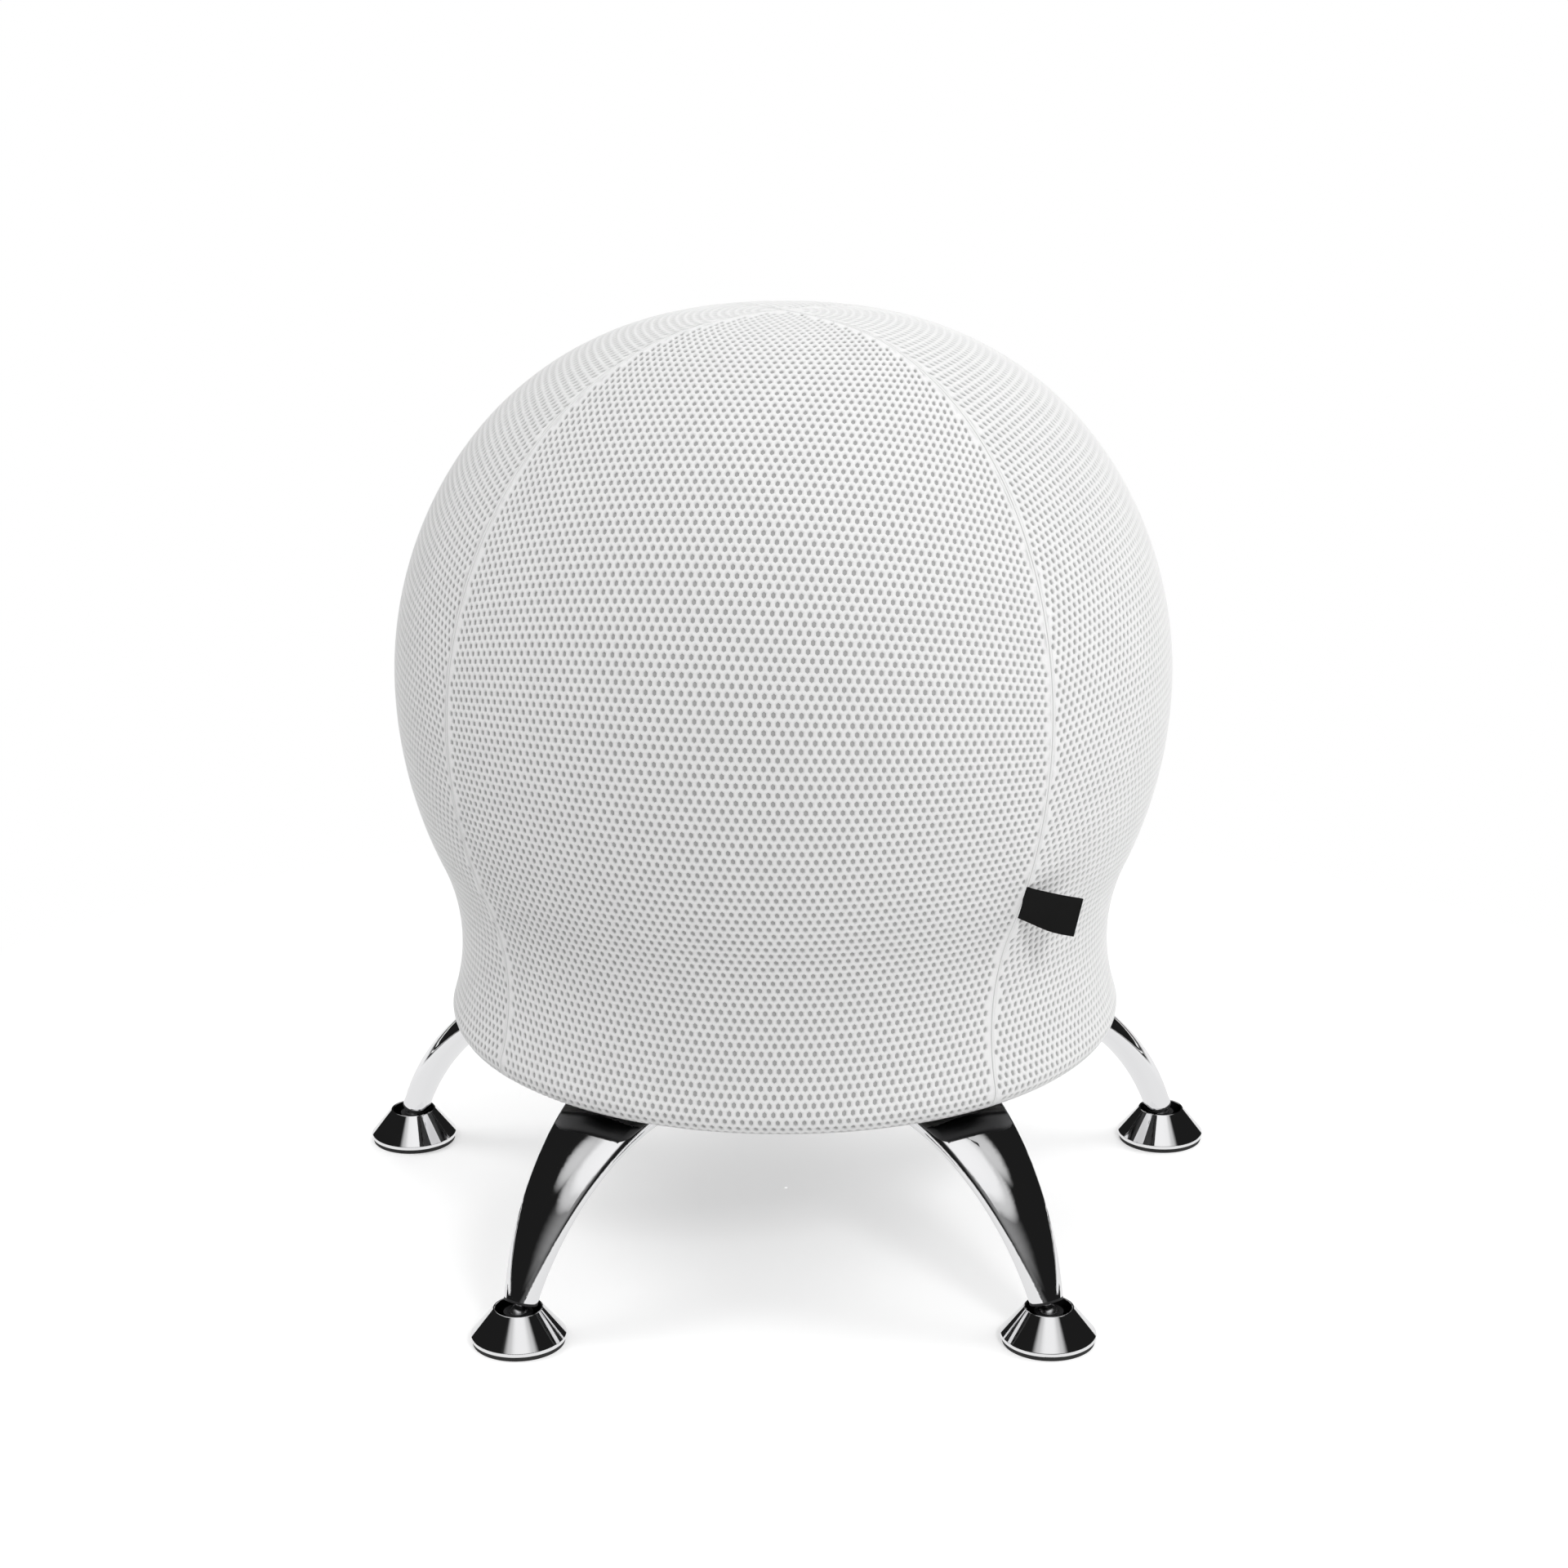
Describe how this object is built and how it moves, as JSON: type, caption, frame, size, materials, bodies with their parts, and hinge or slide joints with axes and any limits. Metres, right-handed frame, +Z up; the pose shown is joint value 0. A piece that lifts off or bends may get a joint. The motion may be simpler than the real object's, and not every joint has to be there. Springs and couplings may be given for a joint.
{
  "type": "ball stool",
  "caption": "Active-sitting ball stool: an air ball in a white sewn mesh cover, on a ring and pan with curved chromed legs and tilting bell feet.",
  "frame": {"origin": "on the floor, under the middle of the seat", "axes": "+Z up along the stool's axis, -Y towards the viewer of the picture (the front), +X to the right"},
  "size_m": [0.5848, 0.559, 0.5984],
  "materials": {
    "mesh_cover": "white knitted spacer mesh with small six-sided holes",
    "hem_binding": "white folded binding, sewn",
    "elastic_cord": "white braided elastic",
    "woven_tag": "black woven label ribbon, left bare",
    "ball_vinyl": "grey burst-resistant vinyl, satin",
    "valve_plastic": "white moulded plug",
    "coated_steel": "black powder coat, satin",
    "cradle_plastic": "black moulded plastic, fine texture",
    "chrome_leg": "bright chromium plate on steel tube",
    "chrome_bell": "bright chromium plate",
    "stud_steel": "turned steel, bright",
    "black_nylon": "black moulded nylon",
    "pad_rubber": "black non-slip rubber",
    "zinc_steel": "zinc plated"
  },
  "bodies": {
    "frame": {"ball_cradle": "cradle_plastic", "base_ring": "coated_steel", "cover_hem": "hem_binding", "foot_stud_1": "stud_steel", "foot_stud_2": "stud_steel", "foot_stud_3": "stud_steel", "foot_stud_4": "stud_steel", "foot_stud_5": "stud_steel", "hem_elastic": "elastic_cord", "leg_1": "chrome_leg", "leg_2": "chrome_leg", "leg_3": "chrome_leg", "leg_4": "chrome_leg", "leg_5": "chrome_leg", "leg_bolts": "zinc_steel", "leg_cap_1": "black_nylon", "leg_cap_2": "black_nylon", "leg_cap_3": "black_nylon", "leg_cap_4": "black_nylon", "leg_cap_5": "black_nylon", "leg_nuts": "zinc_steel", "leg_plug_1": "black_nylon", "leg_plug_2": "black_nylon", "leg_plug_3": "black_nylon", "leg_plug_4": "black_nylon", "leg_plug_5": "black_nylon", "leg_washers": "zinc_steel", "seat_pan": "coated_steel"},
    "seat": {"ball": "ball_vinyl", "valve_plug": "valve_plastic", "cover_front": "mesh_cover", "cover_right": "mesh_cover", "cover_back": "mesh_cover", "cover_left": "mesh_cover", "side_tag": "woven_tag"},
    "foot_1": {"foot_bell_1": "chrome_bell", "foot_socket_1": "black_nylon", "foot_pad_1": "pad_rubber"},
    "foot_2": {"foot_bell_2": "chrome_bell", "foot_socket_2": "black_nylon", "foot_pad_2": "pad_rubber"},
    "foot_3": {"foot_bell_3": "chrome_bell", "foot_socket_3": "black_nylon", "foot_pad_3": "pad_rubber"},
    "foot_4": {"foot_bell_4": "chrome_bell", "foot_socket_4": "black_nylon", "foot_pad_4": "pad_rubber"},
    "foot_5": {"foot_bell_5": "chrome_bell", "foot_socket_5": "black_nylon", "foot_pad_5": "pad_rubber"}
  },
  "joints": [
    {"name": "seat_bounce", "type": "slide", "parent": "frame", "child": "seat", "axis": [0, 0, 1], "range_m": [-0.04, 0], "stiffness_N_per_m": 18000, "springref_m": 0.003, "deforming": ["ball", "cover_front", "cover_right", "cover_back", "cover_left"]},
    {"name": "foot_1_tilt", "type": "hinge", "parent": "frame", "child": "foot_1", "pos_m": [0.16252, -0.22369, 0.0172], "axis": [0.809, 0.5878, 0], "range_deg": [-8, 8]},
    {"name": "foot_2_tilt", "type": "hinge", "parent": "frame", "child": "foot_2", "pos_m": [0.26297, 0.08544, 0.0172], "axis": [-0.309, 0.9511, 0], "range_deg": [-8, 8]},
    {"name": "foot_3_tilt", "type": "hinge", "parent": "frame", "child": "foot_3", "pos_m": [0, 0.2765, 0.0172], "axis": [-1, 0, 0], "range_deg": [-8, 8]},
    {"name": "foot_4_tilt", "type": "hinge", "parent": "frame", "child": "foot_4", "pos_m": [-0.26297, 0.08544, 0.0172], "axis": [-0.309, -0.9511, 0], "range_deg": [-8, 8]},
    {"name": "foot_5_tilt", "type": "hinge", "parent": "frame", "child": "foot_5", "pos_m": [-0.16252, -0.22369, 0.0172], "axis": [0.809, -0.5878, 0], "range_deg": [-8, 8]}
  ]
}
